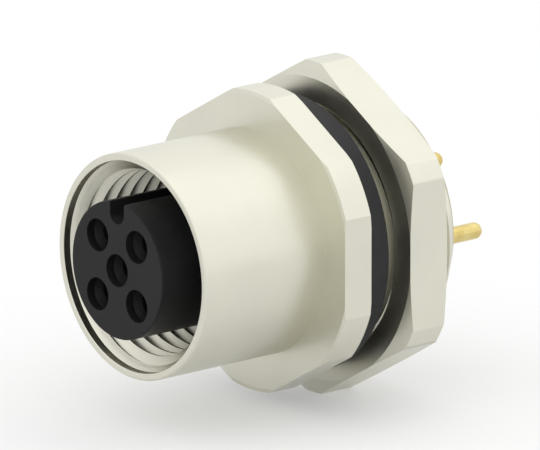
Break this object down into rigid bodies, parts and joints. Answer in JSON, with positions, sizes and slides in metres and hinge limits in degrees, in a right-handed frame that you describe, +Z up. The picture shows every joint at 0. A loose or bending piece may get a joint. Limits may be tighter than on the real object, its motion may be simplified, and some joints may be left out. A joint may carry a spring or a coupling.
{
  "type": "panel-mount circular connector",
  "caption": "Female M12 panel connector with a threaded sleeve, hexagonal flange, flat seal, lock nut and solder pins.",
  "frame": {"origin": "on the connector's axis, in the flange's rear face, which clamps the seal on the panel", "axes": "+Y along the axis from the mating face towards the solder pins, +Z up through the coding groove, flats of both hexagons towards +X and -X"},
  "size_m": [0.018, 0.0262, 0.02],
  "materials": {
    "nickel": "nickel-plated brass, fine satin",
    "seal_rubber": "matt",
    "insert_plastic": "moulded, half matt",
    "spring_steel": "satin",
    "gold": "gold-plated, polished"
  },
  "bodies": {
    "shell": {"housing": "nickel", "contact_insert": "insert_plastic", "insert_seal": "seal_rubber", "rear_insulator": "insert_plastic", "retaining_ring": "spring_steel", "contact_1": "gold", "contact_3": "gold", "contact_4": "gold"},
    "seal": {"panel_seal": "seal_rubber"},
    "nut": {"lock_nut": "nickel"}
  },
  "joints": [
    {"name": "nut_turn", "type": "hinge", "parent": "shell", "child": "seal", "pos_m": [0, 0, 0], "axis": [0, 1, 0], "range_deg": [-217, 541]},
    {"name": "nut_travel", "type": "slide", "parent": "seal", "child": "nut", "axis": [0, 1, 0], "range_m": [-0.00085, 0.00212]}
  ],
  "couplings": [
    {"joint": "nut_turn", "follows": "nut_travel", "rad_per_m": 4453}
  ]
}
